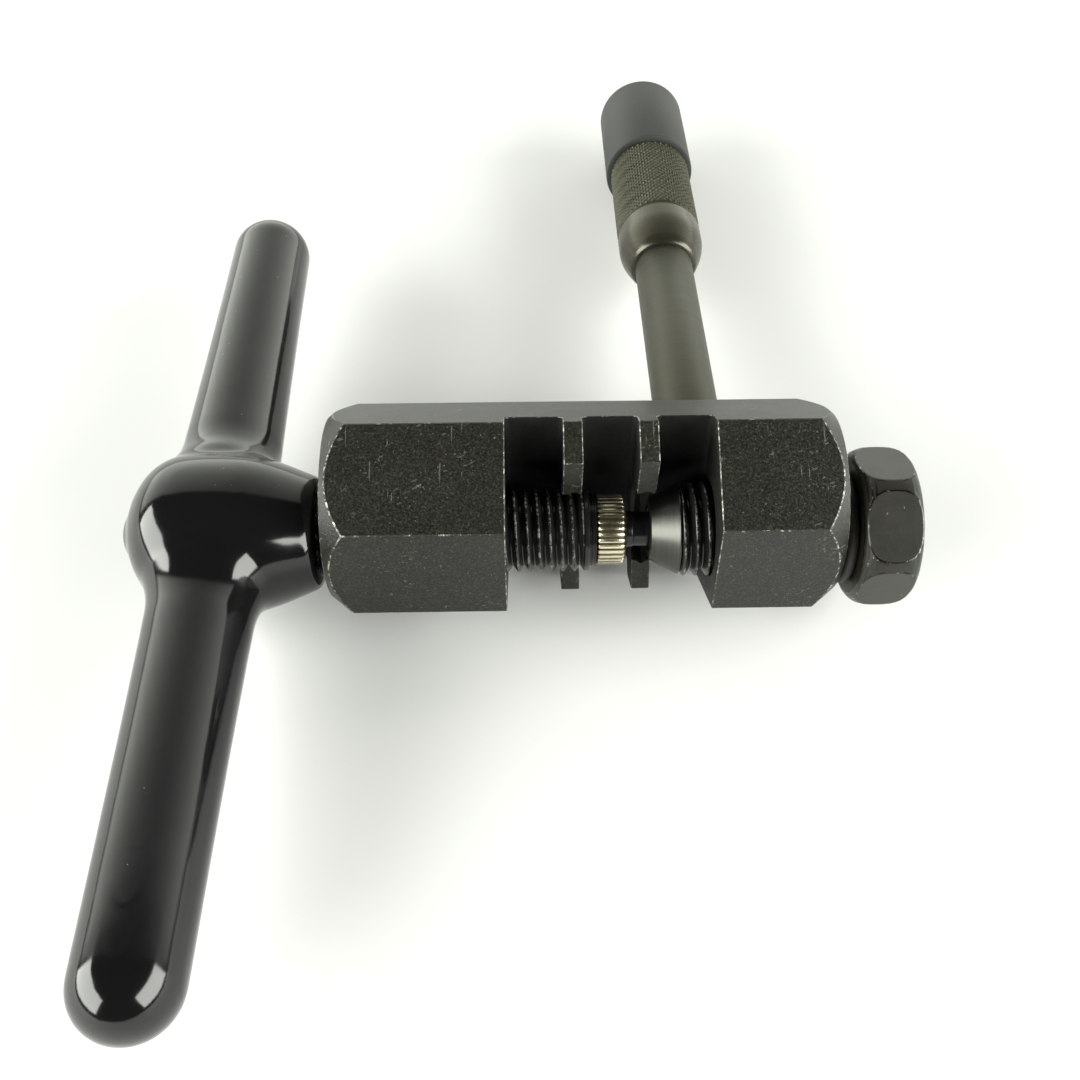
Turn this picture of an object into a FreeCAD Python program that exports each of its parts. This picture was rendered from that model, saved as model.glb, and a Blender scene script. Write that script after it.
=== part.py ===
import FreeCAD, Part
import math
import os

# Shop chain tool: a hexagonal steel bar with a slotted pocket for the chain, a T-handled
# screw that carries the push pin, an adjuster bolt that backs the chain up, and a second
# handle screwed into the back of the bar.
#
# Millimetres. +X runs along both screws from the T-handle to the adjuster head,
# +Y runs out along the second handle, +Z is up. The origin is on the screw axis,
# halfway between the two teeth of the chain seat.

os.makedirs("parts", exist_ok=True)

V = FreeCAD.Vector
ORIGIN = V(0, 0, 0)
X_AXIS = V(1, 0, 0)
Y_AXIS = V(0, 1, 0)
Z_AXIS = V(0, 0, 1)

# ---- bar ----------------------------------------------------------------------------
BAR_FLATS = 24.0            # across flats
BAR_LEFT = -34.9
BAR_RIGHT = 28.3
BAR_MID_Y = 3.5             # the bar's own axis sits behind and above the screw axis
BAR_MID_Z = 1.2
BAR_END_RADIUS = 11.4       # edge of the turned chamfer on the end faces
BAR_CHAMFER_SLOPE = 1.2     # length removed per unit of radius

POCKET_HALF = 12.8          # inner faces of the two end blocks
TOOTH_IN = 3.4              # each tooth runs from here...
TOOTH_OUT = 5.75            # ...to here, either side of the origin
SPINE_FACE_Y = 6.1          # front of the wall left behind the slots
SLOT_CORNER = 0.7
TIP_Y = 0.2                 # tooth tips next to the hole
TIP_HOLE_Z = 6.0
TIP_TOP = (-1.0, 12.0)      # where the upper tip meets the sloping flat
TIP_BOTTOM = (-1.45, -9.85)

# ---- main screw ---------------------------------------------------------------------
SCREW_RADIUS = 5.25
SCREW_PITCH = 1.4
SCREW_THREAD_DEPTH = 0.75
SCREW_THREAD_END = -3.2     # end of the thread towards the chain
COLLAR_END = -2.5
NECK_RADIUS = 4.6
NECK_END = -1.6
NOSE_RADIUS = 3.5
NOSE_END = 0.85
BORE_CLEARANCE = 0.05       # radial, screws in their bores

# ---- push pin and its cap -----------------------------------------------------------
CAP_RADIUS = 4.45
CAP_END = 2.15
CAP_WALL = 0.55
CAP_FLUTES = 30
CAP_FLUTE_RADIUS = 0.24
PIN_SHOULDER_RADIUS = 2.35
PIN_SHOULDER_END = 3.1
PIN_RADIUS = 2.2
PIN_TIP = 8.5
PIN_FLANGE_RADIUS = 3.1
PIN_TAIL_RADIUS = 2.0
PIN_TAIL_END = -5.5
PIN_GAP = 0.06              # running clearance round the pin, which does not turn

# ---- T-handle -----------------------------------------------------------------------
HUB_X = -49.3               # crossing point of the bar and the screw axis
HUB_RADIUS = 10.3
HUB_DOME = ((-59.95, 1.6), (-59.7, 3.2), (-59.25, 4.6), (-58.6, 5.95), (-57.3, 7.8),
            (-56.0, 8.95), (-54.7, 9.65), (-53.2, 10.08), (-51.0, 10.28))
HUB_NECK = ((-48.5, 10.3), (-45.4, 10.15), (-43.4, 9.75), (-41.6, 9.2), (-40.0, 8.6), (-38.6, 8.0),
            (-37.4, 7.5), (-36.5, 7.2), (-36.15, 7.0))
NECK_FACE_X = -36.0         # face of the coated neck next to the bar's end
NECK_FACE_RADIUS = 6.7
T_HALF_LENGTH = 62.3
T_ROOT_RADIUS = 6.35
T_TIP_RADIUS = 5.8
T_CORE_RADIUS = 5.0
T_TURN = 3.7                # degrees the bar is turned about the screw axis
SHANK_HEAD_RADIUS = 7.6     # steel head of the screw inside the hub
SHANK_HEAD_LEFT = -56.6
SHANK_HEAD_CHAMFER = 1.6
LOCK_SCREW_RADIUS = 2.4
COAT_NUB_RADIUS = 2.9
COAT_NUB_END = -60.8

# ---- adjuster bolt ------------------------------------------------------------------
BOLT_RADIUS = 6.0
BOLT_PITCH = 1.5
BOLT_THREAD_DEPTH = 0.85
NOSE_TIP_X = 5.1
NOSE_TIP_RADIUS = 3.85
CONE_END_X = 8.6
CONE_END_RADIUS = 5.75
BOLT_THREAD_END = 27.6
BOLT_SHANK_RADIUS = 5.6
HEAD_LEFT = 30.3
HEAD_RIGHT = 37.6
HEAD_FLATS = 18.0
HEAD_TURNING = ((30.3, 8.5), (30.5, 8.88), (30.8, 9.25), (31.2, 9.55), (31.7, 9.77), (32.4, 9.92),
                (33.9, 10.0), (35.5, 9.91), (36.2, 9.76), (36.7, 9.55), (37.1, 9.25), (37.38, 8.88),
                (37.6, 8.2))  # barrel the corners are turned to: (x, radius)
HEAD_TURN = 45.0            # degrees from -Y up to the middle of the front flat
PIN_BORE_RADIUS = 2.55
PIN_BORE_END = 26.0
RING_SECTION = 0.8          # rubber ring under the bolt head
RING_X = 29.45

# ---- second handle ------------------------------------------------------------------
ROD_X = 12.0
ROD_RADIUS = 4.47
ROD_THREAD_RADIUS = 3.95
ROD_THREAD_START = 8.6
ROD_END = 66.0
ROD_TENON_RADIUS = 3.6
SLEEVE_START = 56.0
SLEEVE_NOSE_RADIUS = 5.1
SLEEVE_RADIUS = 6.65
SLEEVE_TAPER_END = 60.6
SLEEVE_BAND_END = 64.6
SLEEVE_END = 99.0
SLEEVE_BORE_RADIUS = 4.5
SLEEVE_FLUTES = 40
SPARE_PIN_LENGTH = 14.0
CAP2_START = 84.5
CAP2_END = 105.4
CAP2_RADIUS = 7.4
CAP2_EDGE = 1.2

BAR_BACK_Y = BAR_MID_Y + BAR_FLATS / 2


def rod_x(radius, start, end):
    """Cylinder on the screw axis."""
    return Part.makeCylinder(radius, end - start, V(start, 0, 0), X_AXIS)


def rod_y(radius, start, end):
    """Cylinder on the second handle's axis."""
    return Part.makeCylinder(radius, end - start, V(ROD_X, start, BAR_MID_Z), Y_AXIS)


def box(x0, x1, y0, y1, z0, z1):
    return Part.makeBox(x1 - x0, y1 - y0, z1 - z0, V(x0, y0, z0))


def turned(points, about_handle=False):
    """Solid of revolution from (position along the axis, radius) points.

    The axis is the screw axis, or the second handle's axis.
    """
    if about_handle:
        flat = [V(ROD_X + r, y, BAR_MID_Z) for y, r in points]
        centre, axis = V(ROD_X, 0, BAR_MID_Z), Y_AXIS
    else:
        flat = [V(x, r, 0) for x, r in points]
        centre, axis = ORIGIN, X_AXIS
    face = Part.Face(Part.makePolygon(flat + [flat[0]]))
    return face.revolve(centre, axis, 360)


def thread_points(radius, pitch, depth, start, end):
    """Outline of a run of V grooves between start and end, with flat crests."""
    count = int((end - start) / pitch)
    points = []
    for i in range(count):
        x = end - (count - i) * pitch
        points += [(x + 0.10 * pitch, radius), (x + 0.45 * pitch, radius - depth),
                   (x + 0.65 * pitch, radius - depth), (x + 1.00 * pitch, radius)]
    return points


def hexagon_prism(flats, start, end, mid_y, mid_z, turn):
    """Hexagonal bar along X; turn is the angle of one flat, from -Y up."""
    points = []
    for i in range(7):
        a = math.radians(turn + 30 + 60 * i)
        r = flats / 2 / math.cos(math.radians(30))
        points.append(V(start, mid_y - r * math.cos(a), mid_z + r * math.sin(a)))
    return Part.Face(Part.makePolygon(points)).extrude(V(end - start, 0, 0))


def one_solid(shape):
    """The single solid of a boolean result, with split faces joined up again."""
    solids = shape.removeSplitter().Solids
    if len(solids) != 1:
        raise RuntimeError("expected one solid, found %d" % len(solids))
    return solids[0]


parts = {}

# ---- bar: hexagonal stock, end chamfers, pocket, teeth, bores -----------------------
bar = hexagon_prism(BAR_FLATS, BAR_LEFT, BAR_RIGHT, BAR_MID_Y, BAR_MID_Z, 0)
corner_radius = BAR_FLATS / 2 / math.cos(math.radians(30)) + 0.2
chamfer = (corner_radius - BAR_END_RADIUS) * BAR_CHAMFER_SLOPE
ends = turned([(BAR_LEFT, 0), (BAR_LEFT, BAR_END_RADIUS), (BAR_LEFT + chamfer, corner_radius),
               (BAR_RIGHT - chamfer, corner_radius), (BAR_RIGHT, BAR_END_RADIUS), (BAR_RIGHT, 0)])
ends.translate(V(0, BAR_MID_Y, BAR_MID_Z))
bar = bar.common(ends)


def gap(x0, x1):
    """One slot of the pocket, open to the front, the top and the bottom."""
    cut = box(x0, x1, -30, SPINE_FACE_Y, -30, 30)
    back = [e for e in cut.Edges
            if all(abs(v.Y - SPINE_FACE_Y) < 1e-6 for v in e.Vertexes) and e.Length > 50]
    return cut.makeFillet(SLOT_CORNER, back)


for x0, x1 in ((-POCKET_HALF, -TOOTH_OUT), (-TOOTH_IN, TOOTH_IN), (TOOTH_OUT, POCKET_HALF)):
    bar = bar.cut(gap(x0, x1))


def reach(tip, z):
    """Carry a tooth tip's slope on past the bar to height z."""
    y0, z0 = TIP_Y, math.copysign(TIP_HOLE_Z, z)
    y1, z1 = tip
    return V(-POCKET_HALF, y0 + (y1 - y0) * (z - z0) / (z1 - z0), z)


front = [reach(TIP_TOP, 20), V(-POCKET_HALF, TIP_Y, TIP_HOLE_Z), V(-POCKET_HALF, TIP_Y, -TIP_HOLE_Z),
         reach(TIP_BOTTOM, -20), V(-POCKET_HALF, -30, -20), V(-POCKET_HALF, -30, 20)]
mouth = Part.Face(Part.makePolygon(front + [front[0]])).extrude(V(2 * POCKET_HALF, 0, 0))
bar = bar.cut(mouth)

bar = bar.cut(rod_x(SCREW_RADIUS + BORE_CLEARANCE, BAR_LEFT - 1, -POCKET_HALF + 1))
bar = bar.cut(rod_x(BOLT_RADIUS + BORE_CLEARANCE, -TOOTH_OUT - 0.5, BAR_RIGHT + 1))
bar = bar.cut(rod_y(ROD_THREAD_RADIUS, ROD_THREAD_START, BAR_BACK_Y + 1))
parts["hex_body"] = one_solid(bar)

# ---- main screw: head in the hub, thread, collar, neck and threaded nose ------------
outline = [(SHANK_HEAD_LEFT, 0), (SHANK_HEAD_LEFT, SHANK_HEAD_RADIUS - SHANK_HEAD_CHAMFER),
           (SHANK_HEAD_LEFT + SHANK_HEAD_CHAMFER, SHANK_HEAD_RADIUS), (-42.0, SHANK_HEAD_RADIUS),
           (-40.5, 6.2), (-36.6, 6.2), (-36.0, SCREW_RADIUS)]
outline += thread_points(SCREW_RADIUS, SCREW_PITCH, SCREW_THREAD_DEPTH, -35.6, SCREW_THREAD_END)
outline += [(SCREW_THREAD_END + 0.2, SCREW_RADIUS - 0.05), (COLLAR_END, SCREW_RADIUS - 0.05),
            (COLLAR_END, NECK_RADIUS), (NECK_END, NECK_RADIUS), (NECK_END, NOSE_RADIUS),
            (NOSE_END, NOSE_RADIUS), (NOSE_END, 0)]
screw = turned(outline)


def turn_to_bar(shape):
    """Turn a shape built along Y to the T-bar's own angle."""
    shape.rotate(ORIGIN, X_AXIS, T_TURN)
    return shape


def t_core(radius, half):
    return turn_to_bar(Part.makeCylinder(radius, 2 * half, V(HUB_X, -half, 0), Y_AXIS))


lock_hole = rod_x(LOCK_SCREW_RADIUS, SHANK_HEAD_LEFT - 5, HUB_X)
screw = screw.cut(t_core(T_CORE_RADIUS, 30)).cut(lock_hole)
screw = screw.cut(rod_x(PIN_TAIL_RADIUS + PIN_GAP, PIN_TAIL_END - 0.3, NOSE_END + 1))
parts["main_screw"] = one_solid(screw)

# ---- T-bar: steel rod through the screw's head --------------------------------------
core_half = T_HALF_LENGTH - 2.2
core = t_core(T_CORE_RADIUS, core_half)
tip_edges = [e for e in core.Edges if e.Curve.TypeId == "Part::GeomCircle"]
parts["t_bar"] = one_solid(core.makeFillet(2.5, tip_edges))

# ---- lock screw: holds the T-bar in the screw's head --------------------------------
lock = rod_x(LOCK_SCREW_RADIUS, -59.4, HUB_X - T_CORE_RADIUS)
lock = lock.cut(core)
socket = hexagon_prism(2.0, -59.5, -57.6, 0, 0, 0)
parts["bar_lock_screw"] = one_solid(lock.cut(socket))

# ---- dipped coating over the T-bar and the hub --------------------------------------
def bar_skin(side):
    """Half of the coated bar, flared where it runs into the hub."""
    root = 15.5
    points = [(0, 0), (0, HUB_RADIUS - 1.2)]
    for i in range(9):                      # quarter-wave flare out of the hub
        t = i / 8
        y = 5.2 + (root - 5.2) * t
        points.append((y, T_ROOT_RADIUS + (HUB_RADIUS - 1.35 - T_ROOT_RADIUS) * (1 - math.sin(math.pi / 2 * t)) ** 1.3))
    dome = T_HALF_LENGTH - T_TIP_RADIUS
    points.append((dome, T_TIP_RADIUS))
    flat = [V(HUB_X + r, side * y, 0) for y, r in points]
    arc_mid = V(HUB_X + T_TIP_RADIUS * math.cos(math.pi / 4),
                side * (dome + T_TIP_RADIUS * math.sin(math.pi / 4)), 0)
    tip = V(HUB_X, side * T_HALF_LENGTH, 0)
    edges = [Part.LineSegment(flat[i], flat[i + 1]).toShape() for i in range(len(flat) - 1)]
    edges.append(Part.Arc(flat[-1], arc_mid, tip).toShape())
    edges.append(Part.LineSegment(tip, flat[0]).toShape())
    return Part.Face(Part.Wire(edges)).revolve(V(HUB_X, 0, 0), Y_AXIS, 360)


hub = turned([(HUB_DOME[0][0], 0)] + list(HUB_DOME) + list(HUB_NECK)
             + [(NECK_FACE_X, NECK_FACE_RADIUS), (NECK_FACE_X, 0)])
nub = turned([(HUB_X, 0), (HUB_X, COAT_NUB_RADIUS + 0.9), (-59.2, COAT_NUB_RADIUS + 0.9),
              (-59.9, COAT_NUB_RADIUS), (COAT_NUB_END + 0.4, COAT_NUB_RADIUS - 0.5),
              (COAT_NUB_END, COAT_NUB_RADIUS - 1.6), (COAT_NUB_END, 0)])
skin = hub.fuse([turn_to_bar(bar_skin(1)), turn_to_bar(bar_skin(-1)), nub])
inside = turned([(SHANK_HEAD_LEFT, 0), (SHANK_HEAD_LEFT, SHANK_HEAD_RADIUS - SHANK_HEAD_CHAMFER),
                 (SHANK_HEAD_LEFT + SHANK_HEAD_CHAMFER, SHANK_HEAD_RADIUS), (-42.0, SHANK_HEAD_RADIUS),
                 (-40.5, 6.2), (-30.0, 6.2), (-30.0, 0)])
skin = skin.cut(inside).cut(parts["t_bar"]).cut(rod_x(LOCK_SCREW_RADIUS, -59.4, HUB_X))
parts["handle_coating"] = one_solid(skin)

# ---- push pin: tail, flange, shoulder and working end -------------------------------
flange_end = CAP_END - CAP_WALL - PIN_GAP
pin = turned([(PIN_TAIL_END, 0), (PIN_TAIL_END, PIN_TAIL_RADIUS - 0.3), (PIN_TAIL_END + 0.3, PIN_TAIL_RADIUS),
              (NOSE_END + PIN_GAP, PIN_TAIL_RADIUS), (NOSE_END + PIN_GAP, PIN_FLANGE_RADIUS),
              (flange_end, PIN_FLANGE_RADIUS), (flange_end, PIN_SHOULDER_RADIUS),
              (PIN_SHOULDER_END - 0.15, PIN_SHOULDER_RADIUS), (PIN_SHOULDER_END, PIN_RADIUS),
              (PIN_TIP - 0.3, PIN_RADIUS), (PIN_TIP, PIN_RADIUS - 0.3), (PIN_TIP, 0)])
parts["push_pin"] = one_solid(pin)

# ---- knurled cap that holds the pin on the screw's nose -----------------------------
cap = turned([(NECK_END, NOSE_RADIUS), (NECK_END, CAP_RADIUS - 0.35), (NECK_END + 0.35, CAP_RADIUS),
              (CAP_END - 0.6, CAP_RADIUS), (CAP_END, CAP_RADIUS - 0.65),
              (CAP_END, PIN_SHOULDER_RADIUS + PIN_GAP), (CAP_END - CAP_WALL, PIN_SHOULDER_RADIUS + PIN_GAP),
              (CAP_END - CAP_WALL, NOSE_RADIUS)])
flute = rod_x(CAP_FLUTE_RADIUS, NECK_END - 1, CAP_END + 1)
flute.translate(V(0, 0, CAP_RADIUS))
flutes = []
for i in range(CAP_FLUTES):
    one = flute.copy()
    one.rotate(ORIGIN, X_AXIS, 360 / CAP_FLUTES * i)
    flutes.append(one)
parts["pin_cap"] = one_solid(cap.cut(Part.makeCompound(flutes)))

# ---- adjuster bolt: hollow cone nose, thread, shank and hexagonal head --------------
outline = [(NOSE_TIP_X, PIN_BORE_RADIUS), (NOSE_TIP_X, NOSE_TIP_RADIUS), (CONE_END_X, CONE_END_RADIUS),
           (CONE_END_X + 0.05, BOLT_RADIUS - BOLT_THREAD_DEPTH)]
outline += thread_points(BOLT_RADIUS, BOLT_PITCH, BOLT_THREAD_DEPTH, CONE_END_X + 0.3, BOLT_THREAD_END)
outline += [(BOLT_THREAD_END + 0.3, BOLT_SHANK_RADIUS), (HEAD_LEFT + 0.5, BOLT_SHANK_RADIUS),
            (HEAD_LEFT + 0.5, 0), (PIN_BORE_END, 0), (PIN_BORE_END, PIN_BORE_RADIUS)]
bolt = turned(outline)
head = hexagon_prism(HEAD_FLATS, HEAD_LEFT, HEAD_RIGHT, 0, 0, HEAD_TURN)
head = head.common(turned([(HEAD_LEFT, 0)] + list(HEAD_TURNING) + [(HEAD_RIGHT, 0)]))
parts["adjuster_bolt"] = one_solid(bolt.fuse(head))

# ---- rubber ring between the bolt head and the bar ----------------------------------
parts["adjuster_ring"] = one_solid(Part.makeTorus(BOLT_SHANK_RADIUS + RING_SECTION, RING_SECTION,
                                                  V(RING_X, 0, 0), X_AXIS))

# ---- second handle: rod, hollow knurled sleeve, spare pin and end cap ---------------
rod = turned([(ROD_THREAD_START, 0), (ROD_THREAD_START, ROD_THREAD_RADIUS), (BAR_BACK_Y, ROD_THREAD_RADIUS),
              (BAR_BACK_Y, ROD_RADIUS - 0.3), (BAR_BACK_Y + 0.3, ROD_RADIUS), (SLEEVE_START - 0.2, ROD_RADIUS),
              (SLEEVE_START, ROD_RADIUS - 0.2), (SLEEVE_START, ROD_TENON_RADIUS),
              (ROD_END, ROD_TENON_RADIUS), (ROD_END, 0)], about_handle=True)
parts["handle_rod"] = one_solid(rod)

sleeve = turned([(SLEEVE_START, ROD_TENON_RADIUS), (SLEEVE_START, SLEEVE_NOSE_RADIUS),
                 (SLEEVE_TAPER_END, SLEEVE_RADIUS), (SLEEVE_BAND_END, SLEEVE_RADIUS),
                 (SLEEVE_BAND_END + 0.25, SLEEVE_RADIUS - 0.3), (SLEEVE_BAND_END + 0.75, SLEEVE_RADIUS - 0.3),
                 (SLEEVE_BAND_END + 1.0, SLEEVE_RADIUS), (CAP2_START - 1.0, SLEEVE_RADIUS),
                 (CAP2_START - 0.8, SLEEVE_RADIUS - 0.35), (SLEEVE_END - 0.5, SLEEVE_RADIUS - 0.35),
                 (SLEEVE_END, SLEEVE_RADIUS - 0.85), (SLEEVE_END, SLEEVE_BORE_RADIUS),
                 (ROD_END + 0.5, SLEEVE_BORE_RADIUS), (ROD_END, ROD_TENON_RADIUS)], about_handle=True)
parts["handle_sleeve"] = one_solid(sleeve)

spare = turned([(72, 0), (72, PIN_TAIL_RADIUS), (77.5, PIN_TAIL_RADIUS), (77.5, PIN_FLANGE_RADIUS),
                (78.2, PIN_FLANGE_RADIUS), (78.2, PIN_SHOULDER_RADIUS), (79.7, PIN_SHOULDER_RADIUS),
                (79.8, PIN_RADIUS), (86.0, PIN_RADIUS), (86.0, 0)], about_handle=True)
spare.translate(V(0, 0, PIN_FLANGE_RADIUS - SLEEVE_BORE_RADIUS))
parts["spare_pin"] = one_solid(spare)

cap2 = turned([(CAP2_START, SLEEVE_RADIUS - 0.35), (CAP2_START, CAP2_RADIUS - 0.3),
               (CAP2_START + 0.3, CAP2_RADIUS), (CAP2_END - CAP2_EDGE, CAP2_RADIUS),
               (CAP2_END - 0.35, CAP2_RADIUS - 0.4), (CAP2_END, CAP2_RADIUS - CAP2_EDGE),
               (CAP2_END, 0), (SLEEVE_END + 0.4, 0), (SLEEVE_END + 0.4, SLEEVE_RADIUS - 0.35)],
              about_handle=True)
parts["end_cap"] = one_solid(cap2)

for name, shape in parts.items():
    shape.exportStep("parts/%s.step" % name)
    print("%-16s %8.1f mm3  valid %s" % (name, shape.Volume, shape.isValid()))
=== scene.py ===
import math

import bpy
from mathutils import Euler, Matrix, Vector


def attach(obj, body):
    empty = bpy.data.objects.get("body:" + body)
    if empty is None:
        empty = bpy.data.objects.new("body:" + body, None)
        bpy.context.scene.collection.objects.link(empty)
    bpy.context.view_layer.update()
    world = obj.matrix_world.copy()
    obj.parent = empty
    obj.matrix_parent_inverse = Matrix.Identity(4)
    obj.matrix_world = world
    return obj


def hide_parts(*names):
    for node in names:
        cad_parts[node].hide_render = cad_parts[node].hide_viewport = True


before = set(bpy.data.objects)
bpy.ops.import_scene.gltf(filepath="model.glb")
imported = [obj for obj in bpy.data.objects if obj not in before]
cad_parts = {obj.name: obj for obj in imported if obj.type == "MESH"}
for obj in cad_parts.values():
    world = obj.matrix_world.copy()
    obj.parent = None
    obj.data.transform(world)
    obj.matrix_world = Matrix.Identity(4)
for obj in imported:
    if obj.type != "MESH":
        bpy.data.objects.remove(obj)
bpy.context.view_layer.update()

# ---- Bench and light -----------------------------------------------------------------
# The tool lies on a white sweep, resting on the bar's lowest corner and on the end cap,
# so the table is a few degrees off the part's own horizontal. Soft boxes stand left and
# right, a pale tent hangs over and behind it, and the room on the camera's side is dark.
mm = 0.001

camera_data = bpy.data.cameras.new("camera")
camera = bpy.data.objects.new("camera", camera_data)
bpy.context.collection.objects.link(camera)
bpy.context.scene.camera = camera
camera_data.sensor_width = 36
camera_data.lens = 40.33
camera_data.clip_start, camera_data.clip_end = 0.005, 20
camera.location = Vector((-10.5, -106.4, 110.1)) * mm
camera.rotation_euler = Euler((math.radians(90 - 46.44), 0, math.radians(-1.05)), "XYZ")

bar_corner = Vector((0, 3.5, -12.72)) * mm
cap_low = Vector((0, 105, -6.26)) * mm
lean = math.atan2(cap_low.z - bar_corner.z, cap_low.y - bar_corner.y)
bpy.ops.mesh.primitive_plane_add(size=4, location=bar_corner, rotation=(lean, 0, 0))
table = bpy.context.object
table.name = "table"
table_finish = bpy.data.materials.new("white_sweep")
table_finish.use_nodes = True
sweep = table_finish.node_tree.nodes["Principled BSDF"]
sweep.inputs["Base Color"].default_value = (0.77, 0.77, 0.77, 1)
sweep.inputs["Roughness"].default_value = 0.7
table.data.materials.append(table_finish)


def soft_box(name, place, size, watts, aim):
    lamp = bpy.data.lights.new(name, "AREA")
    lamp.color = (0.98, 1.0, 0.94)
    lamp.shape, lamp.size, lamp.size_y, lamp.energy = "RECTANGLE", size[0], size[1], watts
    box = bpy.data.objects.new(name, lamp)
    bpy.context.collection.objects.link(box)
    box.location = place
    box.rotation_euler = (Vector(aim) - Vector(place)).to_track_quat("-Z", "Y").to_euler()


for name, side in (("left_box", -1), ("right_box", 1)):
    soft_box(name, (side * 0.62, -0.26, 0.24), (0.88, 0.40), 12.4, aim=(0, -0.02, 0.03))

room = bpy.data.worlds.new("room")
bpy.context.scene.world = room
room.use_nodes = True
nodes, links = room.node_tree.nodes, room.node_tree.links


def room_math(operation, a, b):
    made = nodes.new("ShaderNodeMath")
    made.operation = operation
    for socket, value in zip(made.inputs, (a, b)):
        if isinstance(value, float):
            socket.default_value = value
        else:
            links.new(value, socket)
    return made.outputs[0]


def room_ramp(value, low, high):
    """0 at low, 1 at high, straight between."""
    made = nodes.new("ShaderNodeMapRange")
    made.inputs["From Min"].default_value, made.inputs["From Max"].default_value = low, high
    links.new(value, made.inputs["Value"])
    return made.outputs[0]


# The tent's strength falls with height and to the right, and grows towards both sides at
# the back. Its two low back corners are open, and DARK is what the rest of the room gives.
TENT_LOW, TENT_FALL, TENT_SIDES, TENT_RIGHT, DARK = 2.80, 2.45, 1.1, 0.45, 0.025
direction = nodes.new("ShaderNodeTexCoord")
split = nodes.new("ShaderNodeSeparateXYZ")
links.new(direction.outputs["Generated"], split.inputs[0])
across, away, height = split.outputs["X"], split.outputs["Y"], split.outputs["Z"]
sides = room_math("MULTIPLY", room_math("MULTIPLY", across, across), room_ramp(away, 0.35, 0.60))
tent = room_math("SUBTRACT", TENT_LOW, room_math("MULTIPLY", height, TENT_FALL))
tent = room_math("ADD", tent, room_math("MULTIPLY", sides, TENT_SIDES))
tent = room_math("SUBTRACT", tent, room_math("MULTIPLY", across, TENT_RIGHT))
corner = room_ramp(room_math("ABSOLUTE", across, 0.0), 0.68, 0.78)
gap = room_math("SUBTRACT", 1.0, room_math("MULTIPLY", corner, room_ramp(height, 0.14, 0.02)))
tent = room_math("MULTIPLY", room_math("MULTIPLY", room_ramp(away, 0.28, 0.34), tent), gap)
tent = room_math("ADD", tent, DARK)
links.new(tent, nodes["Background"].inputs["Strength"])
nodes["Background"].inputs["Color"].default_value = (0.97, 1.0, 0.91, 1)
bpy.context.scene.view_settings.view_transform = "Standard"


# ---- Hexagonal bar -------------------------------------------------------------------
# The body: 24 mm hexagonal steel, ends turned to a chamfer, milled through so that two thin
# teeth stand in the chain's pocket, then bored on one line, with the tap's thread as rings.
# The black-oxide finish has rubbed off along its edges. Sizes are in mm.
BAR_FLATS, BAR_LEFT, BAR_RIGHT = 24.0, -34.9, 28.3
BAR_Y, BAR_Z = 3.5, 1.2
POCKET, TOOTH_IN, TOOTH_OUT, SPINE_Y = 12.8, 3.4, 5.75, 6.1
TAP_R, TAP_ROOT_R, TAP_PITCH, SCREW_BORE_R, ROD_HOLE_R = 6.05, 6.5, 1.5, 5.3, 3.97
ROD_X, ROD_Z = 12.0, 1.2
WELD = 1e-6


class Field:
    """A socket in a material. Arithmetic on it adds Math nodes."""

    def __init__(self, tree, socket):
        self.tree, self.socket = tree, socket

    def node(self, kind, settings=None, sockets=None, out=0):
        """Any other node: its settings are set first, then its sockets' values or links."""
        made = self.tree.nodes.new(kind)
        for key, value in (settings or {}).items():
            setattr(made, key, value)
        for key, value in (sockets or {}).items():
            if isinstance(value, Field):
                self.tree.links.new(value.socket, made.inputs[key])
            else:
                made.inputs[key].default_value = value
        return Field(self.tree, made.outputs[out])

    def math(self, operation, a, b=0.0):
        return self.node("ShaderNodeMath", {"operation": operation}, {0: a, 1: b})

    def __add__(self, other): return self.math("ADD", self, other)
    def __radd__(self, other): return self.math("ADD", other, self)
    def __sub__(self, other): return self.math("SUBTRACT", self, other)
    def __rsub__(self, other): return self.math("SUBTRACT", other, self)
    def __mul__(self, other): return self.math("MULTIPLY", self, other)
    def __rmul__(self, other): return self.math("MULTIPLY", other, self)

    def above(self, low, high):
        """0 below low, 1 above high, smooth between."""
        return self.node("ShaderNodeMapRange", {"interpolation_type": "SMOOTHSTEP"},
                         {"Value": self, "From Min": low, "From Max": high})

    def noise(self, scale, detail=3.0, rough=0.55, stretch=(1, 1, 1), turn=(0, 0, 0)):
        """Noise at scale features per metre, drawn out along an axis and turned."""
        place = self.node("ShaderNodeMapping", {"vector_type": "TEXTURE"},
                          {"Vector": self, "Rotation": turn, "Scale": [1 / one for one in stretch]})
        return self.node("ShaderNodeTexNoise", {}, {"Vector": place, "Scale": scale,
                                                    "Detail": detail, "Roughness": rough})

    def part(self, index):
        """One component of this vector: 0 for X, 1 for Y, 2 for Z."""
        return self.node("ShaderNodeSeparateXYZ", {}, {0: self}, out=index)

    def off_axis(self, across, centre=(0, 0, 0)):
        """Distance in mm from an axis through centre; across is 0 along it and 1 square to it."""
        moved = self.node("ShaderNodeVectorMath", {"operation": "SUBTRACT"}, {0: self, 1: centre})
        flat = self.node("ShaderNodeVectorMath", {"operation": "MULTIPLY"},
                         {0: moved, 1: [1000 * one for one in across]})
        return self.node("ShaderNodeVectorMath", {"operation": "LENGTH"}, {0: flat}, out=1)

    def blend(self, a, b):
        """Colour a where this is 0, b where it is 1."""
        return self.node("ShaderNodeMix", {"data_type": "RGBA"}, {0: self, 6: a, 7: b}, out=2)

    def feed(self, name):
        self.tree.links.new(self.socket, self.tree.nodes["Principled BSDF"].inputs[name])

    def bump(self, distance, strength):
        """Use this as the surface's height, in metres when it runs from 0 to 1."""
        height = {"Height": self, "Distance": distance, "Strength": strength}
        self.node("ShaderNodeBump", {}, height).feed("Normal")


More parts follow.
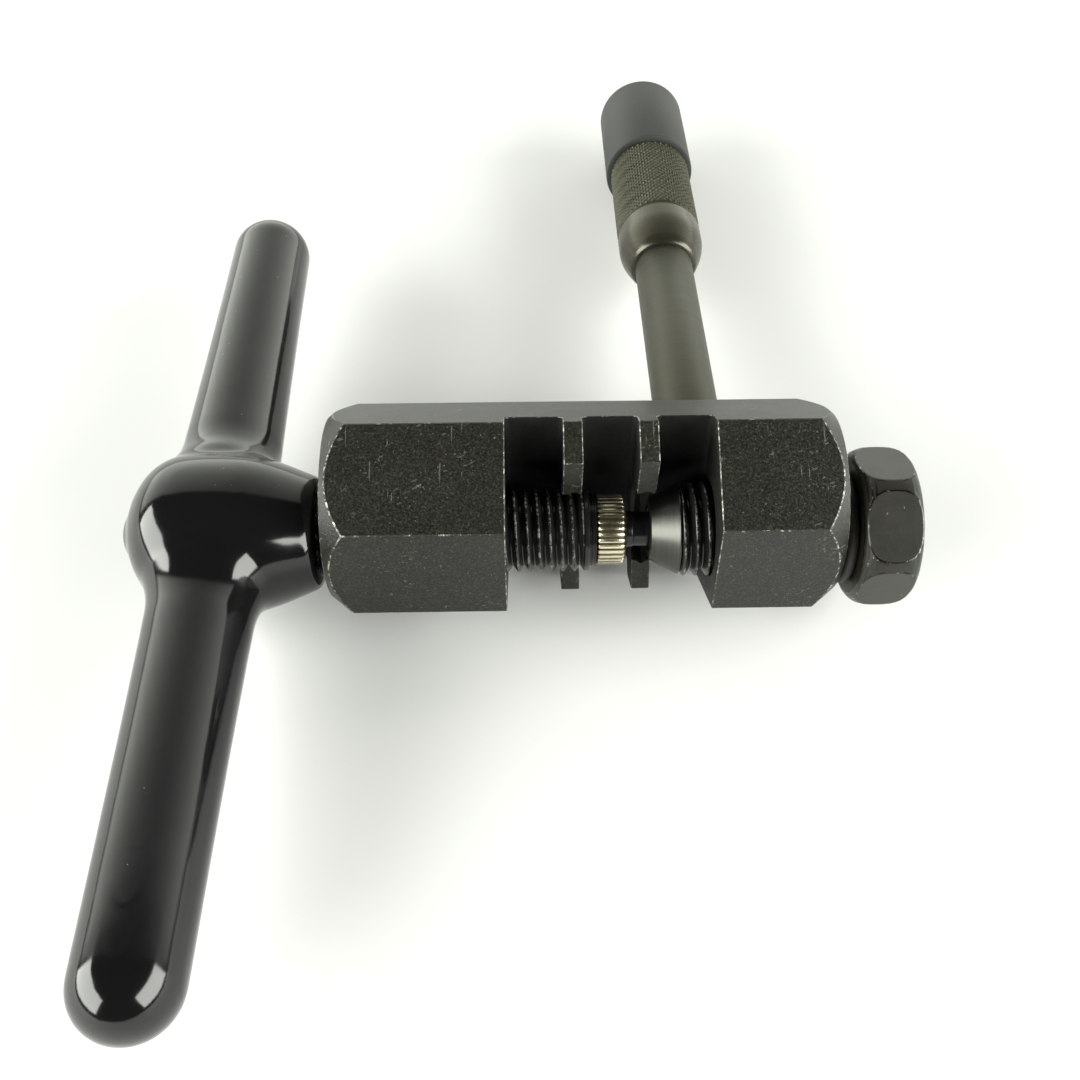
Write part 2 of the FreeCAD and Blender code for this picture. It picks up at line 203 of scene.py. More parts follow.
def finish(name, **fixed):
    """A new material and its object coordinates; fixed values go on the shader's sockets."""
    material = bpy.data.materials.new(name)
    material.use_nodes = True
    tree = material.node_tree
    for key, value in fixed.items():
        tree.nodes["Principled BSDF"].inputs[key.replace("_", " ")].default_value = value
    place = Field(tree, None)
    place.socket = tree.nodes.new("ShaderNodeTexCoord").outputs["Object"]
    return material, place


def alone(piece):
    """Select only this piece."""
    bpy.ops.object.select_all(action="DESELECT")
    piece.select_set(True)
    bpy.context.view_layer.objects.active = piece


def apply_place(piece):
    alone(piece)
    bpy.ops.object.transform_apply(location=True, rotation=True, scale=True)


def smooth(piece, angle=35):
    alone(piece)
    bpy.ops.object.shade_smooth_by_angle(angle=math.radians(angle))


def turned(name, points, along="X", centre=(0, 0, 0), steps=96):
    """A piece turned on the lathe: (place along the axis, radius) points spun round it."""
    axis = Vector((1, 0, 0)) if along == "X" else Vector((0, 1, 0))
    side = Vector((0, 0, 1))
    centre = Vector(centre)
    outline = bpy.data.meshes.new(name)
    outline.from_pydata([(centre + axis * a + side * r) * mm for a, r in points],
                        [(i, i + 1) for i in range(len(points) - 1)], [])
    piece = bpy.data.objects.new(name, outline)
    bpy.context.collection.objects.link(piece)
    alone(piece)
    bpy.ops.object.mode_set(mode="EDIT")
    bpy.ops.mesh.select_all(action="SELECT")
    bpy.ops.mesh.spin(steps=steps, angle=2 * math.pi, center=centre * mm, axis=axis)
    bpy.ops.mesh.select_all(action="SELECT")
    bpy.ops.mesh.remove_doubles(threshold=WELD)
    bpy.ops.mesh.normals_make_consistent(inside=False)
    bpy.ops.object.mode_set(mode="OBJECT")
    return piece


def threaded(name, radius, pitch, depth, start, end, steps=64):
    """A solid rod on the screw axis with a helical V thread, flat at both ends."""
    outline = bpy.data.meshes.new(name)
    turns_before = 1.537
    place = start - turns_before * pitch
    shape = [(0.0, -depth), (0.10, -depth), (0.44, -0.06), (0.50, 0.0),
             (0.60, 0.0), (0.66, -0.06), (1.0, -depth)]
    outline.from_pydata([((place + a * pitch) * mm, 0, (radius + r) * mm) for a, r in shape],
                        [(i, i + 1) for i in range(len(shape) - 1)], [])
    rod = bpy.data.objects.new(name, outline)
    bpy.context.collection.objects.link(rod)
    alone(rod)
    screw = rod.modifiers.new("screw", "SCREW")
    screw.axis, screw.steps, screw.render_steps = "X", steps, steps
    screw.screw_offset, screw.iterations = pitch * mm, math.ceil((end - start) / pitch) + 3
    screw.use_merge_vertices, screw.merge_threshold = True, WELD
    bpy.ops.object.modifier_apply(modifier="screw")
    bpy.ops.object.mode_set(mode="EDIT")
    bpy.ops.mesh.select_mode(type="EDGE")
    bpy.ops.mesh.select_all(action="SELECT")
    bpy.ops.mesh.remove_doubles(threshold=2 * WELD)
    bpy.ops.mesh.bisect(plane_co=(start * mm, 0, 0), plane_no=(1, 0, 0), clear_inner=True,
                        threshold=WELD / 100)
    bpy.ops.mesh.select_all(action="SELECT")
    bpy.ops.mesh.bisect(plane_co=(end * mm, 0, 0), plane_no=(1, 0, 0), clear_outer=True,
                        threshold=WELD / 100)
    for face_x in (start, end):
        bpy.ops.mesh.select_all(action="DESELECT")
        bpy.ops.object.mode_set(mode="OBJECT")
        faces_at = {}
        for face in rod.data.polygons:
            for key in face.edge_keys:
                faces_at[key] = faces_at.get(key, 0) + 1
        for edge in rod.data.edges:
            edge.select = faces_at.get(edge.key, 0) == 1 and all(
                abs(rod.data.vertices[i].co.x - face_x * mm) < 2 * WELD for i in edge.vertices)
        bpy.ops.object.mode_set(mode="EDIT")
        bpy.ops.mesh.extrude_region_move(TRANSFORM_OT_translate={"value": (0, 0, 0)})
        bpy.ops.transform.resize(value=(1, 0, 0), center_override=(face_x * mm, 0, 0))
    bpy.ops.mesh.select_all(action="SELECT")
    bpy.ops.mesh.remove_doubles(threshold=2 * WELD)
    bpy.ops.mesh.normals_make_consistent(inside=False)
    bpy.ops.object.mode_set(mode="OBJECT")
    return rod


def cut(piece, tool, operation="DIFFERENCE"):
    """Take the tool's shape out of the piece, or keep only what they share."""
    alone(piece)
    step = piece.modifiers.new("cut", "BOOLEAN")
    step.operation, step.object, step.solver = operation, tool, "EXACT"
    bpy.ops.object.modifier_apply(modifier="cut")
    bpy.data.objects.remove(tool)


def join(pieces):
    bpy.ops.object.select_all(action="DESELECT")
    for one in pieces:
        one.select_set(True)
    bpy.context.view_layer.objects.active = pieces[0]
    bpy.ops.object.join()
    return pieces[0]


def hexagon(name, flats, start, end, y, z, first_corner):
    """Hexagonal stock along X; first_corner is the angle of one corner, from -Y up."""
    bpy.ops.object.select_all(action="DESELECT")
    bpy.ops.mesh.primitive_cylinder_add(vertices=6, radius=flats / 2 / math.cos(math.pi / 6) * mm,
                                        depth=(end - start) * mm, rotation=(0, math.pi / 2, 0))
    stock = bpy.context.object
    stock.name = name
    apply_place(stock)
    stock.rotation_euler = (-math.radians(first_corner), 0, 0)
    stock.location = ((start + end) / 2 * mm, y * mm, z * mm)
    apply_place(stock)
    return stock


bar = hexagon("bar", BAR_FLATS, BAR_LEFT, BAR_RIGHT, BAR_Y, BAR_Z, 30)
cut(bar, turned("ends", [(BAR_LEFT, 0), (BAR_LEFT, 11.4), (BAR_LEFT + 3.1, 14.0),
                         (BAR_RIGHT - 3.1, 14.0), (BAR_RIGHT, 11.4), (BAR_RIGHT, 0)],
                centre=(0, BAR_Y, BAR_Z), steps=144), "INTERSECT")
for left, right in ((-POCKET, -TOOTH_OUT), (-TOOTH_IN, TOOTH_IN), (TOOTH_OUT, POCKET)):
    bpy.ops.object.select_all(action="DESELECT")
    bpy.ops.mesh.primitive_cube_add(size=1)
    slot = bpy.context.object
    slot.dimensions = ((right - left) * mm, 36 * mm, 60 * mm)
    slot.location = ((left + right) / 2 * mm, (SPINE_Y - 18) * mm, 0)
    apply_place(slot)
    bpy.ops.object.mode_set(mode="EDIT")
    bpy.ops.mesh.select_mode(type="EDGE")
    bpy.ops.mesh.select_all(action="DESELECT")
    bpy.ops.object.mode_set(mode="OBJECT")
    for edge in slot.data.edges:
        ends = [slot.data.vertices[i].co for i in edge.vertices]
        on_spine = all(abs(e.y - SPINE_Y * mm) < WELD / 10 for e in ends)
        edge.select = on_spine and abs(ends[0].z - ends[1].z) > 30 * mm
    bpy.ops.object.mode_set(mode="EDIT")
    bpy.ops.mesh.bevel(offset=0.7 * mm, segments=8)
    bpy.ops.object.mode_set(mode="OBJECT")
    cut(bar, slot)

MOUTH_DEEP, MOUTH_LONG, MOUTH_TALL, FLARE_UP, FLARE_DOWN = 0.2, 40, 12, 1.24 / 6, 1.63 / 3.85
bpy.ops.object.select_all(action="DESELECT")
bpy.ops.mesh.primitive_cube_add(size=1)
mouth = bpy.context.object
mouth.dimensions = (2 * (POCKET - 0.3) * mm, MOUTH_LONG * mm, MOUTH_TALL * mm)
mouth.location = (0, (MOUTH_DEEP - MOUTH_LONG / 2) * mm, 0)
apply_place(mouth)
for side, lean_out in ((1, FLARE_UP), (-1, FLARE_DOWN)):
    bpy.ops.object.mode_set(mode="EDIT")
    bpy.ops.mesh.select_mode(type="FACE")
    bpy.ops.mesh.select_all(action="DESELECT")
    bpy.ops.object.mode_set(mode="OBJECT")
    for face in mouth.data.polygons:
        face.select = face.normal.z * side > 0.9
    bpy.ops.object.mode_set(mode="EDIT")
    reach = (0, -14 * lean_out * mm, side * 14 * mm)
    bpy.ops.mesh.extrude_region_move(TRANSFORM_OT_translate={"value": reach})
    bpy.ops.object.mode_set(mode="OBJECT")
cut(bar, mouth)
alone(bar)
bpy.ops.object.mode_set(mode="EDIT")
bpy.ops.mesh.select_all(action="SELECT")
bpy.ops.mesh.remove_doubles(threshold=WELD)
bpy.ops.mesh.fill_holes(sides=0)
bpy.ops.object.mode_set(mode="OBJECT")

oxide, place = finish("black_oxide", Specular_IOR_Level=0.43)
cloud = place.noise(160, 5, 0.6)
blotch = place.noise(900, 4, 0.65)
grain = place.noise(3500, 4, 0.65)
rust = place.noise(800, 5, 0.7).above(0.54, 0.72)
speck = place.noise(3600, 2, 0.5).above(0.70, 0.76)
scuffs = place.noise(2400, 2, 0.4, (0.03, 1, 1), (0.2, 0.1, 0.5)).above(0.68, 0.72)
nicks = place.noise(2800, 2, 0.4, (1, 0.03, 1), (0.6, 0.3, 0.2)).above(0.68, 0.72)
hairs = place.noise(2600, 2, 0.4, (1, 1, 0.03), (0.5, -0.4, 0.3)).above(0.68, 0.72)
scratch = (scuffs + nicks + hairs) * place.noise(190, 2).above(0.52, 0.62)
colour = cloud.blend((0.0070, 0.0076, 0.0050, 1), (0.0140, 0.0150, 0.0100, 1))
colour = (rust * 0.6).blend(colour, (0.028, 0.021, 0.013, 1))
colour = grain.above(0.40, 0.54).blend((0.0040, 0.0043, 0.0033, 1), colour)
colour = (grain.above(0.55, 0.68) * 0.5).blend(colour, (0.045, 0.046, 0.036, 1))
colour = (speck * 0.5 + scratch * 0.25).blend(colour, (0.20, 0.20, 0.17, 1))
# Inside the three milled slots the colour is darkened almost to black, which is painted shade; the
# same mask also makes the slots rougher.
half = place.math("ABSOLUTE", place.part(0)) * 1000
painted_slot_shade = half.above(POCKET + 0.01, POCKET - 0.01) * (1 - half.above(TOOTH_IN, TOOTH_IN + 0.02)
                                                       * half.above(TOOTH_OUT, TOOTH_OUT - 0.02))
painted_slot_shade = painted_slot_shade * (place.part(1) * 1000).above(SPINE_Y + 0.12, SPINE_Y + 0.04)
painted_slot_shade.blend(colour, (0.0012, 0.0013, 0.0012, 1)).feed("Base Color")
(0.22 + cloud * 0.12 + grain * 0.22 - scratch * 0.1 + painted_slot_shade * 0.3).feed("Roughness")
(grain * 0.9 + blotch * 0.35 - scratch * 0.4).bump(0.00009, 0.7)

worn, place = finish("rubbed_edge", Metallic=0.5)
facing = Field(worn.node_tree, worn.node_tree.nodes["Texture Coordinate"].outputs["Normal"])
cross_edge = facing.math("ABSOLUTE", facing.part(0)).above(0.05, 0.35)
patchy = place.noise(230, 3, 0.5).above(0.35, 0.65)
rub = place.noise(1500, 5, 0.8)
rub = (rub + patchy * 0.05 + cross_edge * 0.08).above(0.56, 0.74)
fine = place.noise(4200, 3, 0.6)
rub.blend((0.024, 0.025, 0.020, 1), (0.46, 0.46, 0.40, 1)).feed("Base Color")
(0.36 + fine * 0.25).feed("Roughness")
(fine + rub * 0.5).bump(0.00004, 0.6)

bar.data.materials.clear()
bar.data.materials.append(oxide)
bar.data.materials.append(worn)
bar_bevel = bar.modifiers.new("worn edges", "BEVEL")
bar_bevel.width, bar_bevel.segments, bar_bevel.limit_method = 0.11 * mm, 1, "ANGLE"
bar_bevel.angle_limit = math.radians(18)
bar_bevel.use_clamp_overlap = False
bar_bevel.material = 1
alone(bar)
bpy.ops.object.modifier_apply(modifier="worn edges")
# The bevel lifts a few corners a hair above the flats, so they are put back on them.
middle = Vector((0, BAR_Y, BAR_Z)) * mm
for vertex in bar.data.vertices:
    for turn in range(0, 360, 60):
        normal = Vector((0, math.cos(math.radians(turn)), math.sin(math.radians(turn))))
        proud = (vertex.co - middle).dot(normal) - BAR_FLATS / 2 * mm
        if proud > 0:
            vertex.co -= normal * proud
tap_line = [(-6.6, 0), (-6.6, TAP_R)]
for i in range(23):
    groove = -5.85 + TAP_PITCH * i
    if TOOTH_IN < abs(groove) < TOOTH_OUT or groove > POCKET:
        tap_line += [(groove - TAP_PITCH / 2, TAP_R), (groove, TAP_ROOT_R),
                     (groove + TAP_PITCH / 2, TAP_R)]
cut(bar, turned("tap", tap_line + [(29.4, TAP_R), (29.4, 0)]))
cut(bar, turned("screw_bore", [(-35.5, 0), (-35.5, SCREW_BORE_R), (-12.0, SCREW_BORE_R),
                               (-12.0, 0)]))
cut(bar, turned("rod_hole", [(8.6, 0), (8.6, ROD_HOLE_R), (16.5, ROD_HOLE_R), (16.5, 0)], "Y",
                (ROD_X, 0, ROD_Z), 48))
bar.name = "bar_body"
smooth(bar, 12)
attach(bar, "bar")
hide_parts("hex_body")


# ---- Main screw ----------------------------------------------------------------------
# Black screw with a rolled thread, a polished collar, a finely grooved neck and a small
# nose for the pin's cap. Its plain head is buried in the hub of the T-handle.
screw_thread = threaded("main_thread", 5.25, 1.4, 0.75, -35.6, -3.2)
screw_end = turned("screw_end", [(-3.2, 0), (-3.2, 4.9), (-3.05, 5.15), (-2.65, 5.15),
                                 (-2.5, 5.0), (-2.5, 4.6), (-2.32, 4.6), (-2.27, 4.48),
                                 (-2.17, 4.48), (-2.12, 4.6), (-1.98, 4.6), (-1.93, 4.48),
                                 (-1.83, 4.48), (-1.78, 4.6), (-1.62, 4.6), (-1.62, 3.5),
                                 (0.85, 3.5), (0.85, 0)])
screw_head = turned("screw_head", [(-42.0, 0), (-42.0, 7.4), (-40.6, 6.1), (-36.6, 6.1),
                                   (-35.6, 5.0), (-35.6, 0)])
screw = join([screw_thread, screw_end, screw_head])
screw.name = "main_screw_body"


def thread_black(name, crest):
    """Glossy blackened steel, rubbed bright in short dashes along the thread's crest."""
    material, place = finish(name, Metallic=0.25)
    turning = place.noise(2600, 2, 0.5, (1, 0.12, 0.12))
    patch = place.noise(420, 4, 0.6)
    on_crest = place.off_axis((0, 1, 1)).above(crest - 0.05, crest - 0.01)
    rubbed = on_crest * place.noise(1300, 4, 0.8).above(0.46, 0.68)
    colour = patch.blend((0.0060, 0.0060, 0.0062, 1), (0.0150, 0.0150, 0.0145, 1))
    (rubbed * 0.75).blend(colour, (0.30, 0.295, 0.27, 1)).feed("Base Color")
    (0.14 + patch * 0.10 + turning * 0.06 + rubbed * 0.12).feed("Roughness")
    (turning * 0.6 + patch * 0.3).bump(0.00003, 0.5)
    return material


screw_black = thread_black("screw_black", 5.23)
screw.data.materials.clear()
screw.data.materials.append(screw_black)
smooth(screw, 30)
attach(screw, "spindle")
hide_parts("main_screw")


# ---- T-bar and lock screw ------------------------------------------------------------
# Bright drawn rod pressed through the screw's head and held by a small set screw. Both
# are out of sight under the dipped coating.
drawn, place = finish("drawn_steel", Metallic=1.0)
draw = place.noise(1500, 3, 0.5, (1, 0.04, 1))
draw.blend((0.42, 0.42, 0.41, 1), (0.62, 0.61, 0.60, 1)).feed("Base Color")
(0.25 + draw * 0.2).feed("Roughness")
draw.bump(0.00003, 0.5)
for node in ("t_bar", "bar_lock_screw"):
    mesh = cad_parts[node].data
    mesh.materials.clear()
    mesh.materials.append(drawn)


# ---- Dipped coating ------------------------------------------------------------------
# Thick black vinyl dipped over the hub and both arms in one piece, so every corner is
# drawn into a soft fillet. The surface is glossy, with faint runs and specks of dust.
HUB_X, T_TURN = -49.3, math.radians(3.7)
ARM_REACH, TIP_R = 62.3, 5.78
hub = turned("hub", [(-60.0, 0), (-59.95, 1.6), (-59.7, 3.2), (-59.25, 4.6), (-58.6, 5.95),
                     (-57.3, 7.8), (-56.0, 8.95), (-54.7, 9.65), (-53.2, 10.08), (-51.0, 10.27),
                     (-48.5, 10.28), (-45.4, 10.15), (-43.4, 9.75), (-41.6, 9.2), (-40.0, 8.6),
                     (-38.6, 8.0), (-37.4, 7.5), (-36.5, 7.2), (-36.15, 7.0), (-36.0, 6.6),
                     (-36.0, 0)], steps=128)
nub = turned("nub", [(-57.0, 0), (-57.0, 3.1), (-59.9, 3.0), (-60.45, 2.5), (-60.75, 1.5),
                     (-60.82, 0)], steps=64)
arms = []
for side in (1, -1):
    tip = [(ARM_REACH - TIP_R + TIP_R * math.sin(math.radians(a)),
            TIP_R * math.cos(math.radians(a))) for a in range(0, 91, 9)]
    arm = [(0, 7.7), (8.4, 7.7), (9.6, 7.2), (11.0, 6.75), (13.0, 6.45), (18, 6.3), (30, 6.08),
           (44, 5.9)]
    arms.append(turned("arm", [(side * a, r) for a, r in arm + tip], "Y", (HUB_X, 0, 0), 96))
arms = join(arms)
arms.rotation_euler = (T_TURN, 0, 0)
apply_place(arms)
skin = join([hub, arms, nub])
skin.name = "handle_coating_skin"
alone(skin)
remesh = skin.modifiers.new("one skin", "REMESH")
remesh.mode, remesh.voxel_size, remesh.use_smooth_shade = "VOXEL", 0.42 * mm, True
bpy.ops.object.modifier_apply(modifier="one skin")
everywhere = skin.vertex_groups.new(name="all over")
roots = skin.vertex_groups.new(name="arm roots")
ROOTS_END, ROOTS_FADE = 16.5, 2.5
for vertex in skin.data.vertices:
    everywhere.add([vertex.index], 1.0, "REPLACE")
    out = Vector((vertex.co.x / mm - HUB_X, vertex.co.y / mm, vertex.co.z / mm)).length
    near = max(0.0, min(1.0, (ROOTS_END - out) / ROOTS_FADE))
    if near > 0:
        roots.add([vertex.index], near, "REPLACE")
for group, rounds in (("all over", 4), ("arm roots", 36)):
    soften = skin.modifiers.new("soften", "SMOOTH")
    soften.vertex_group, soften.factor, soften.iterations = group, 0.5, rounds
    bpy.ops.object.modifier_apply(modifier="soften")
skin.vertex_groups.clear()

dip, place = finish("black_dip", Metallic=0.0, Coat_Roughness=0.05)
wave = place.noise(85, 2, 0.4)
runs = place.noise(300, 3, 0.5, (1, 0.25, 1))
dust = place.noise(1700, 1, 0.4).above(0.80, 0.82)
(dust * 0.75).blend((0.0045, 0.0045, 0.005, 1), (0.14, 0.14, 0.14, 1)).feed("Base Color")
(0.075 + runs * 0.07 + dust * 0.3).feed("Roughness")
(wave + runs * 0.12 + dust * 0.05).bump(0.0002, 0.35)
skin.data.materials.clear()
skin.data.materials.append(dip)
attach(skin, "spindle")
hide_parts("handle_coating")


# ---- Push pin ------------------------------------------------------------------------
# Hardened black pin: a flange held by the cap, a short shoulder and a ground working end
# that runs into the bolt's bore.
pin = turned("push_pin_body", [(-5.5, 0), (-5.5, 1.7), (-5.2, 2.0), (0.91, 2.0), (0.91, 3.1),
                               (1.54, 3.1), (1.54, 2.35), (2.9, 2.35), (3.02, 2.3), (3.12, 2.2),
                               (8.15, 2.2), (8.4, 2.1), (8.5, 1.9), (8.5, 0)], steps=72)
pin_black, place = finish("pin_black", Metallic=0.3)
ground = place.noise(3800, 2, 0.5, (1, 0.1, 0.1))
stain = place.noise(500, 3, 0.5)
stain.blend((0.006, 0.006, 0.007, 1), (0.016, 0.016, 0.017, 1)).feed("Base Color")
(0.10 + stain * 0.10 + ground * 0.08).feed("Roughness")
ground.bump(0.00002, 0.5)
pin.data.materials.append(pin_black)
smooth(pin, 30)
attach(pin, "pin")
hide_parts("push_pin")


# ---- Pin cap -------------------------------------------------------------------------
# Small nickel-plated cap with a straight knurl, screwed on the nose to hold the pin.
# The plating is warm and bright on the ridges, and the grooves are darkened with painted shade.
RIDGES, CAP_LEFT = 34, -1.25
ridge_shape = ((0.00, 4.17), (0.10, 4.19), (0.24, 4.41), (0.50, 4.46), (0.76, 4.41), (0.90, 4.19))
outline = bpy.data.meshes.new("pin_cap_body")
ring = []
for i in range(RIDGES):
    for share, radius in ridge_shape:
        turn = 2 * math.pi * (i + share) / RIDGES
        ring.append((CAP_LEFT * mm, radius * mm * math.cos(turn), radius * mm * math.sin(turn)))
outline.from_pydata(ring, [(i, (i + 1) % len(ring)) for i in range(len(ring))], [])
cap = bpy.data.objects.new("pin_cap_body", outline)
bpy.context.collection.objects.link(cap)
alone(cap)
bpy.ops.object.mode_set(mode="EDIT")
bpy.ops.mesh.select_mode(type="EDGE")
bpy.ops.mesh.select_all(action="SELECT")
for step, shrink in ((2.85, 1.0), (0.30, 0.955), (0.22, 0.87)):
    bpy.ops.mesh.extrude_region_move(TRANSFORM_OT_translate={"value": (step * mm, 0, 0)})
    bpy.ops.transform.resize(value=(1, shrink, shrink), center_override=(0, 0, 0))
bpy.ops.mesh.edge_face_add()
bpy.ops.mesh.select_all(action="DESELECT")
bpy.ops.object.mode_set(mode="OBJECT")
for edge in cap.data.edges:
    edge.select = all(abs(cap.data.vertices[i].co.x - CAP_LEFT * mm) < WELD / 10
                      for i in edge.vertices)
bpy.ops.object.mode_set(mode="EDIT")
for step, shrink in ((-0.22, 0.965), (-0.13, 0.93)):
    bpy.ops.mesh.extrude_region_move(TRANSFORM_OT_translate={"value": (step * mm, 0, 0)})
    bpy.ops.transform.resize(value=(1, shrink, shrink), center_override=(0, 0, 0))
bpy.ops.mesh.edge_face_add()
bpy.ops.mesh.select_all(action="SELECT")
bpy.ops.mesh.normals_make_consistent(inside=False)
bpy.ops.object.mode_set(mode="OBJECT")
cut(cap, turned("nose_room", [(-2, 0), (-2, 3.52), (1.6, 3.52), (1.6, 2.41), (3, 2.41), (3, 0)],
                steps=48))

nickel, place = finish("nickel_plate", Metallic=1.0)
ridge = place.off_axis((0, 1, 1)).above(4.18, 4.42)
tarnish = place.noise(900, 4, 0.6)
colour = tarnish.blend((0.62, 0.56, 0.40, 1), (0.78, 0.73, 0.57, 1))
# The grooves between the ridges get a near-black colour: painted shade.
ridge.blend((0.085, 0.07, 0.04, 1), colour).feed("Base Color")
(0.16 + tarnish * 0.16 + (1 - ridge) * 0.25).feed("Roughness")
tarnish.bump(0.00003, 0.4)
cap.data.materials.clear()
cap.data.materials.append(nickel)
smooth(cap, 40)
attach(cap, "spindle")
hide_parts("pin_cap")


# ---- Adjuster bolt -------------------------------------------------------------------
# Standard black bolt turned down to a bright-turned cone and bored for the pin. The head
# has the broad chamfers of a forged hexagon, and its corners are rubbed.
bolt_thread = threaded("bolt_thread", 6.0, 1.5, 0.85, 8.9, 27.8)
PIN_BORE_R, HEAD_FLATS, HEAD_LEFT, HEAD_RIGHT, HEAD_CORNER = 2.55, 18.0, 30.3, 37.6, 75
bolt_nose = turned("bolt_nose", [(8.9, PIN_BORE_R), (5.3, PIN_BORE_R), (5.1, 2.75), (5.1, 3.7),
                                 (5.22, 3.9), (8.55, 5.72), (8.72, 5.72), (8.9, 5.3),
                                 (8.9, PIN_BORE_R)], steps=128)
cut(bolt_thread, turned("pin_bore", [(8.0, 0), (8.0, PIN_BORE_R), (26.0, PIN_BORE_R), (26.0, 0)],
                        steps=128))
bolt_shank = turned("bolt_shank", [(27.8, 0), (27.8, 5.1), (28.3, 5.6), (30.5, 5.6), (30.5, 0)])
head = hexagon("bolt_head", HEAD_FLATS, HEAD_LEFT, HEAD_RIGHT, 0, 0, HEAD_CORNER)
cut(head, turned("head_turning", [(HEAD_LEFT, 0), (HEAD_LEFT, 8.5), (30.5, 8.88), (30.8, 9.25),
                                  (31.2, 9.55), (31.7, 9.77), (32.4, 9.92), (33.1, 9.98),
                                  (33.9, 10.0), (34.8, 9.98), (35.5, 9.91), (36.2, 9.76),
                                  (36.7, 9.55), (37.1, 9.25), (37.38, 8.88), (37.55, 8.45),
                                  (HEAD_RIGHT, 8.2), (HEAD_RIGHT, 0)], steps=144), "INTERSECT")
head.data.materials.clear()
head_black, place = finish("bolt_black", Specular_IOR_Level=0.42)
forge = place.noise(300, 5, 0.6)
grit = place.noise(3000, 3, 0.6)
mark = place.noise(1500, 2, 0.4, (1, 0.12, 1), (0.3, 0.4, 0.2)).above(0.74, 0.78)
colour = forge.blend((0.0075, 0.0070, 0.0045, 1), (0.0160, 0.0148, 0.0105, 1))
(mark * 0.5).blend(colour, (0.28, 0.27, 0.26, 1)).feed("Base Color")
(0.26 + forge * 0.16 + grit * 0.10).feed("Roughness")
(forge * 0.7 + grit * 0.3 - mark * 0.2).bump(0.00006, 0.6)
head.data.materials.append(head_black)
head_rub, place = finish("bolt_rubbed_edge", Metallic=1.0)
rub = place.noise(1300, 4, 0.7).above(0.56, 0.70)
rub.blend((0.045, 0.045, 0.042, 1), (0.34, 0.33, 0.30, 1)).feed("Base Color")
(0.28 + rub * 0.15).feed("Roughness")
rub.bump(0.00003, 0.4)
head.data.materials.append(head_rub)
head_bevel = head.modifiers.new("edges", "BEVEL")
head_bevel.width, head_bevel.segments, head_bevel.limit_method = 0.10 * mm, 1, "ANGLE"
head_bevel.angle_limit = math.radians(11.5)
head_bevel.use_clamp_overlap = False
head_bevel.material = 1
alone(head)
bpy.ops.object.modifier_apply(modifier="edges")

cone_bright, place = finish("cone_turned", Metallic=1.0)
rings = place.noise(5200, 3, 0.6, (1, 0.02, 0.02))
smear = place.noise(600, 3, 0.5)
rings.blend((0.050, 0.051, 0.045, 1), (0.105, 0.106, 0.096, 1)).feed("Base Color")
(0.24 + rings * 0.16 + smear * 0.06).feed("Roughness")
rings.bump(0.00003, 0.6)
bolt_nose.data.materials.append(cone_bright)
bolt_black = thread_black("bolt_thread_black", 6.0)
bolt_thread.data.materials.append(bolt_black)
bolt_shank.data.materials.append(bolt_black)
bolt = join([bolt_nose, bolt_thread, bolt_shank, head])
bolt.name = "adjuster_bolt_body"
smooth(bolt, 9)
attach(bolt, "adjuster")
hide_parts("adjuster_bolt")


# ---- Rubber ring ---------------------------------------------------------------------
# Black O-ring on the shank under the bolt head, moulded, slightly dusty.
bpy.ops.object.select_all(action="DESELECT")
bpy.ops.mesh.primitive_torus_add(major_segments=96, minor_segments=20, major_radius=6.4 * mm,
                                 minor_radius=0.8 * mm, rotation=(0, math.pi / 2, 0),
                                 location=(29.45 * mm, 0, 0))
o_ring = bpy.context.object
o_ring.name = "adjuster_o_ring"
apply_place(o_ring)
rubber, place = finish("ring_rubber")
bloom = place.noise(900, 4, 0.6)
bloom.blend((0.008, 0.008, 0.008, 1), (0.030, 0.030, 0.029, 1)).feed("Base Color")
(0.5 + bloom * 0.25).feed("Roughness")
bloom.bump(0.00004, 0.5)
o_ring.data.materials.append(rubber)
smooth(o_ring, 60)
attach(o_ring, "ring")
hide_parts("adjuster_ring")


# ---- Second handle: rod --------------------------------------------------------------
# Plain steel rod with a brownish plated finish, screwed into the back of the bar.
rod = turned("handle_rod_body", [(8.6, 0), (8.6, 3.6), (9.0, 3.95), (15.5, 3.95), (15.5, 4.2),
                                 (15.75, 4.47), (55.7, 4.47), (56.0, 4.3), (56.0, 3.6),
                                 (66, 3.6), (66, 0)], "Y", (ROD_X, 0, ROD_Z))
brown, place = finish("brown_plate", Metallic=0.7)
mottle = place.noise(260, 4, 0.6)
lathe_lines = place.noise(2400, 3, 0.55, (0.05, 1, 0.05))
colour = mottle.blend((0.031, 0.0300, 0.0185, 1), (0.048, 0.0465, 0.0290, 1))
lathe_dark = lathe_lines.above(0.4, 0.7) * 0.15
lathe_dark.blend(colour, (0.028, 0.026, 0.0190, 1)).feed("Base Color")
(0.34 + mottle * 0.12 + lathe_lines * 0.10).feed("Roughness")
(lathe_lines * 0.8 + mottle * 0.3).bump(0.00002, 0.4)
rod.data.materials.append(brown)
smooth(rod, 30)
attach(rod, "bar")
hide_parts("handle_rod")


